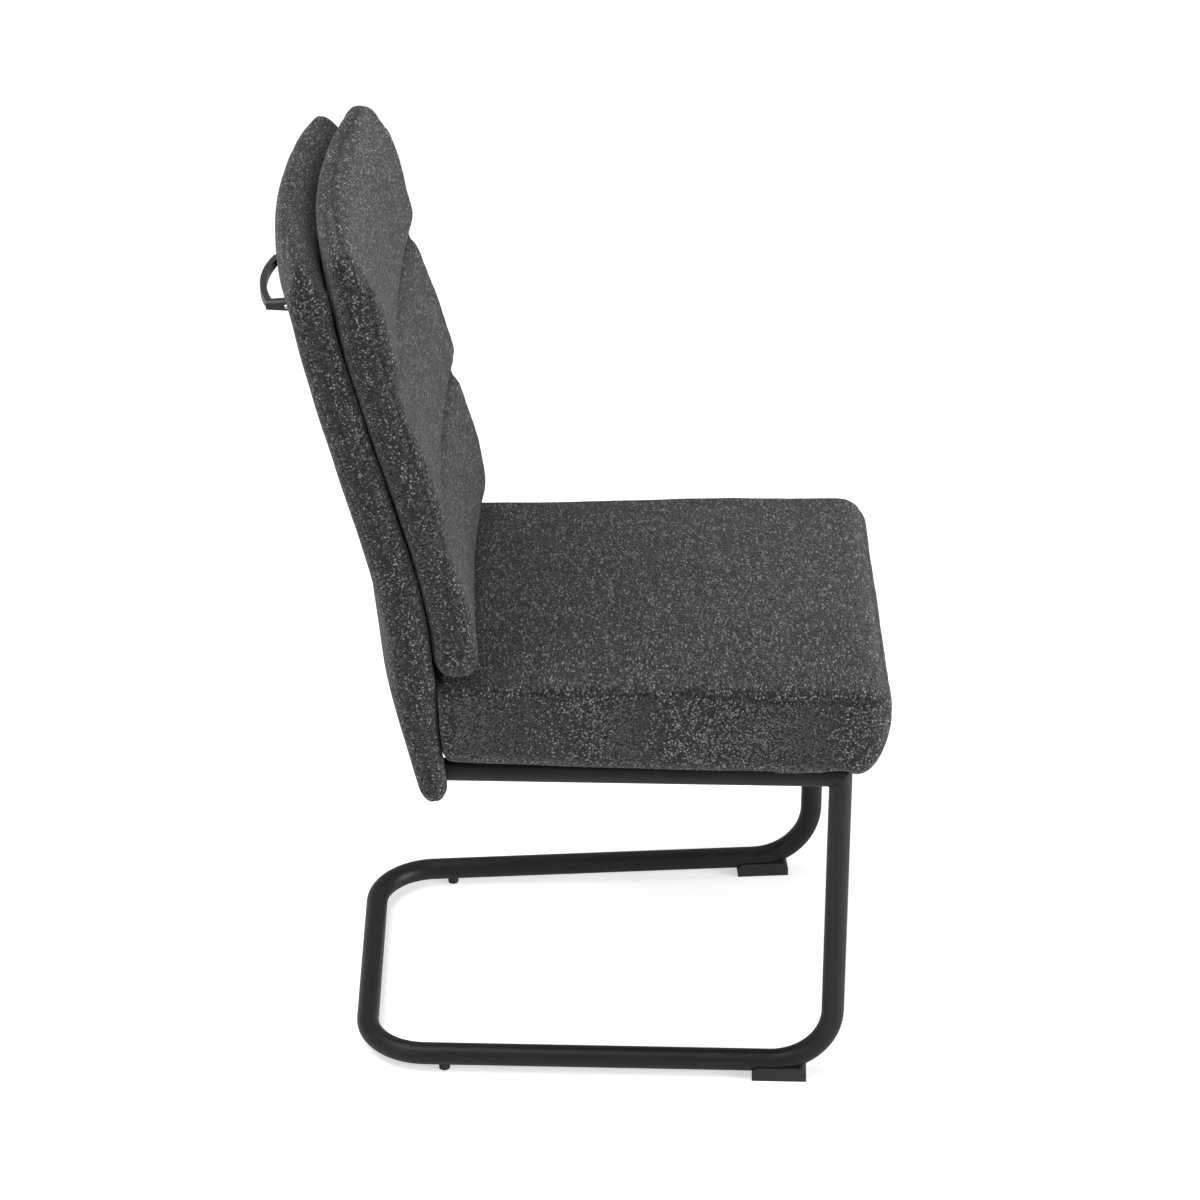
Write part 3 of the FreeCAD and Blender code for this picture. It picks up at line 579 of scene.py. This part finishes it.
def handle_metal(name):
    """Dark satin metal with fine brush marks."""
    shader = Shader(name)
    strokes = shader.noise(size=0.0006, place=shader.stretched(0.06, 1.0, 1.0))
    base = shader.ramp(strokes, [(0.3, (0.022, 0.022, 0.0225)), (0.7, (0.034, 0.034, 0.035))])
    shader.colour(base)
    shader.rough(strokes, smoothest=0.30, roughest=0.42)
    shader.set(Metallic=0.35)
    shader.bump(strokes, relief=0.00003, strength=0.5)
    return shader.material


def moulded_plastic(name, light, dark):
    """Matt moulded plastic with a fine texture."""
    shader = Shader(name)
    grain = shader.noise(size=0.0007, detail=3.0)
    tone = shader.noise(size=0.02)
    base = shader.ramp(tone, [(0.35, grey(dark)), (0.65, grey(light))])
    shader.colour(base)
    shader.rough(grain, smoothest=0.50, roughest=0.66)
    shader.bump(grain, relief=0.00005, strength=0.7)
    return shader.material


ply_scale = 130.0
ply_waviness = 0.6


def plywood(name):
    """Raw plywood with long grain and paler and darker plies."""
    shader = Shader(name)
    grain = shader.noise(size=0.004, detail=4.0, roughness=0.6, distortion=0.6,
                         place=shader.stretched(1.0, 0.08, 0.08))
    plies = shader.tree.nodes.new("ShaderNodeTexWave")
    plies.bands_direction = "Z"
    plies.inputs["Scale"].default_value = ply_scale
    plies.inputs["Distortion"].default_value = ply_waviness
    shader.link(shader.place, plies.inputs["Vector"])
    base = shader.ramp(grain, [(0.3, (0.46, 0.31, 0.18)), (0.7, (0.66, 0.49, 0.31))])
    layers = shader.ramp(plies.outputs["Fac"], [(0.3, grey(0.84)), (0.7, grey(1.0))])
    base = shader.mix(1.0, base, layers, "MULTIPLY")
    shader.colour(base)
    shader.rough(grain, smoothest=0.55, roughest=0.75)
    shader.bump(grain, relief=0.0002, strength=0.5)
    return shader.material


def zinc(name):
    """Bright zinc plating with a faint mottle."""
    shader = Shader(name)
    mottle = shader.noise(size=0.003, detail=3.0)
    base = shader.ramp(mottle, [(0.35, (0.50, 0.51, 0.53)), (0.65, (0.66, 0.67, 0.68))])
    shader.colour(base)
    shader.rough(mottle, smoothest=0.25, roughest=0.42)
    shader.set(Metallic=1.0)
    shader.bump(mottle, relief=0.00003, strength=0.5)
    return shader.material


def dust_cloth(name):
    """Black non-woven cloth with a pressed dot pattern."""
    shader = Shader(name)
    dots = shader.cells(size=0.0022, randomness=0.15).outputs["Distance"]
    fibre = shader.noise(size=0.0016, detail=4.0, roughness=0.7)
    base = shader.ramp(fibre, [(0.3, (0.012, 0.012, 0.013)), (0.7, (0.040, 0.040, 0.042))])
    shader.colour(base)
    shader.rough(fibre, smoothest=0.8, roughest=1.0)
    shader.set(Specular_IOR_Level=0.2)
    shader.bump(shader.math("ADD", dots, fibre), relief=0.0003, strength=0.8)
    return shader.material


# Finish of the carried-over nodes

metal_nodes = ["base_tube", "seat_rail_left", "seat_rail_right", "cross_bar_front", "cross_bar_rear",
               "back_strap_left", "back_strap_right"]
glide_nodes = ["front_glide_left", "front_glide_right", "rear_glide_left", "rear_glide_right"]
wood_nodes = ["seat_board", "back_panel", "cushion_board"]
zinc_nodes = ["seat_bolts", "seat_nuts", "strap_bolts", "strap_nuts", "handle_screws", "handle_sleeves"]


def paint_nodes(names, material):
    """Gives nodes a new material in place of their plain one."""
    for name in names:
        slots = nodes[name].material_slots
        for item in slots:
            item.link = "OBJECT"
            item.material = material


# Weld beads where the rails meet the legs

def weld_bead(name, side, material):
    """Rippled bead in the inner corner between a leg and its seat rail."""
    tube_low, tube_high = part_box("base_tube")
    centre = Vector((side * (tube_high[0] - tube_radius), tube_low[1] + tube_radius,
                     rail_top - tube_radius))
    inward = Vector((0, 1, -1))
    curve = bpy.data.curves.new(name, "CURVE")
    curve.dimensions = "3D"
    curve.bevel_depth = bead_radius
    curve.bevel_resolution = 3
    curve.use_fill_caps = True
    line = curve.splines.new("NURBS")
    line.points.add(bead_ripples)
    for i, point in enumerate(line.points):
        turn = bead_turn * (i / bead_ripples - 0.5)
        aside = Vector((math.sin(turn), 0, 0))
        place = centre + (aside + inward * math.cos(turn)) * tube_radius
        point.co = (*place, 1)
        point.radius = bead_radius_shares[i % 2]
    line.order_u = 3
    line.use_endpoint_u = True
    piece = bpy.data.objects.new(name, curve)
    bpy.context.scene.collection.objects.link(piece)
    curve.materials.append(material)
    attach(piece, "root")


# Stage: floor, light and camera

floor_size = 12.0           # from the middle to an edge
floor_colour = (0.95, 0.95, 0.95, 1)
floor_lift = 0.47           # what the floor gives to the camera alone, which makes it white
world_strength = 0.44
white = (1, 1, 1, 1)

camera_place = (-3.6846, -0.0104, 2.5355)
camera_pitch = math.radians(28.978)
camera_yaw = math.radians(-0.206)
camera_roll = math.radians(-0.488)
sensor_width = 36.0
picture_width = 1200        # in pixels
focal_length = 3798.7       # in pixels


def floor(z):
    """Pale floor that shows white to the camera and keeps the chair's shadow."""
    mesh = bpy.data.meshes.new("floor")
    turns = ((-1, -1), (1, -1), (1, 1), (-1, 1))
    corners = [(x * floor_size, y * floor_size, z) for x, y in turns]
    mesh.from_pydata(corners, [], [(0, 1, 2, 3)])
    piece = bpy.data.objects.new("floor", mesh)
    bpy.context.scene.collection.objects.link(piece)
    material = bpy.data.materials.new("floor_white")
    material.use_nodes = True
    tree = material.node_tree
    surface = tree.nodes["Principled BSDF"]
    surface.inputs["Base Color"].default_value = floor_colour
    surface.inputs["Roughness"].default_value = 1.0
    surface.inputs["Specular IOR Level"].default_value = 0.0
    seen = tree.nodes.new("ShaderNodeLightPath")
    lift = tree.nodes.new("ShaderNodeMath")
    lift.operation = "MULTIPLY"
    lift.inputs[1].default_value = floor_lift
    tree.links.new(seen.outputs["Is Camera Ray"], lift.inputs[0])
    surface.inputs["Emission Color"].default_value = white
    tree.links.new(lift.outputs["Value"], surface.inputs["Emission Strength"])
    mesh.materials.append(material)


def world():
    """Plain white surroundings: soft light on the chair, full white to the camera."""
    background = bpy.data.worlds.new("studio")
    bpy.context.scene.world = background
    background.use_nodes = True
    tree = background.node_tree
    tree.nodes.clear()
    soft = tree.nodes.new("ShaderNodeBackground")
    soft.inputs["Color"].default_value = white
    soft.inputs["Strength"].default_value = world_strength
    bright = tree.nodes.new("ShaderNodeBackground")
    bright.inputs["Color"].default_value = white
    bright.inputs["Strength"].default_value = 1.0
    seen = tree.nodes.new("ShaderNodeLightPath")
    choose = tree.nodes.new("ShaderNodeMixShader")
    output = tree.nodes.new("ShaderNodeOutputWorld")
    tree.links.new(seen.outputs["Is Camera Ray"], choose.inputs[0])
    tree.links.new(soft.outputs[0], choose.inputs[1])
    tree.links.new(bright.outputs[0], choose.inputs[2])
    tree.links.new(choose.outputs[0], output.inputs["Surface"])


def lamp(name, place, target, size, power):
    """Square soft box that looks at a target."""
    light = bpy.data.lights.new(name, "AREA")
    light.shape = "SQUARE"
    light.size = size
    light.energy = power
    piece = bpy.data.objects.new(name, light)
    bpy.context.scene.collection.objects.link(piece)
    piece.location = place
    piece.rotation_euler = (Vector(target) - Vector(place)).to_track_quat("-Z", "Y").to_euler()


def camera():
    """Camera on the chair's right, looking along +X and down, as in the photo."""
    ahead = Vector((math.cos(camera_yaw) * math.cos(camera_pitch),
                    math.sin(camera_yaw) * math.cos(camera_pitch), -math.sin(camera_pitch)))
    level_right = ahead.cross(Vector((0, 0, 1))).normalized()
    level_up = level_right.cross(ahead)
    right = level_right * math.cos(camera_roll) + level_up * math.sin(camera_roll)
    up = level_up * math.cos(camera_roll) - level_right * math.sin(camera_roll)
    lens = bpy.data.cameras.new("camera")
    lens.sensor_width = sensor_width
    lens.lens = sensor_width * focal_length / picture_width
    lens.clip_end = 100.0
    piece = bpy.data.objects.new("camera", lens)
    bpy.context.scene.collection.objects.link(piece)
    turn = Matrix((right, up, -ahead)).transposed()
    piece.matrix_world = Matrix.Translation(camera_place) @ turn.to_4x4()
    bpy.context.scene.camera = piece


# Everything in order

upholster("seat_cushion", ["seat_foam"], seat_rule, tweed("seat_tweed"),
          replaced=["seat_foam", "seat_cover"])
upholster("back_shell", ["back_shell_foam", "back_panel", "back_strap_left", "back_strap_right"],
          shell_rule(), tweed("shell_tweed"),
          replaced=["back_shell_foam", "back_shell_cover"])
upholster("back_cushion", ["back_cushion_foam", "cushion_board"],
          cushion_rule(), tweed("cushion_tweed"),
          replaced=["back_cushion_foam", "back_cushion_cover"])
coat = powder_coat("frame_powder_coat")
paint_nodes(metal_nodes, coat)
weld_bead("weld_bead_left", side=1, material=coat)
weld_bead("weld_bead_right", side=-1, material=coat)
paint_nodes(glide_nodes, moulded_plastic("glide_black", light=0.012, dark=0.008))
paint_nodes(["cushion_studs"], moulded_plastic("stud_black", light=0.030, dark=0.020))
paint_nodes(wood_nodes, plywood("raw_plywood"))
paint_nodes(zinc_nodes, zinc("zinc_plate"))
paint_nodes(["seat_dust_cover"], dust_cloth("dust_cloth_black"))
paint_nodes(["back_handle"], handle_metal("handle_satin"))

floor(cad_box[0][2])
world()
lamp("top_box", place=(-0.4, 1.0, 3.1), target=(0, 0, 0.4), size=2.0, power=60)
lamp("front_box", place=(-1.2, -3.2, 0.9), target=(0, 0.1, 0.75), size=1.6, power=105)
lamp("rear_box", place=(-2.4, 2.6, 1.6), target=(0, 0, 0.4), size=1.6, power=18)
camera()

bpy.context.scene.view_settings.view_transform = "Standard"
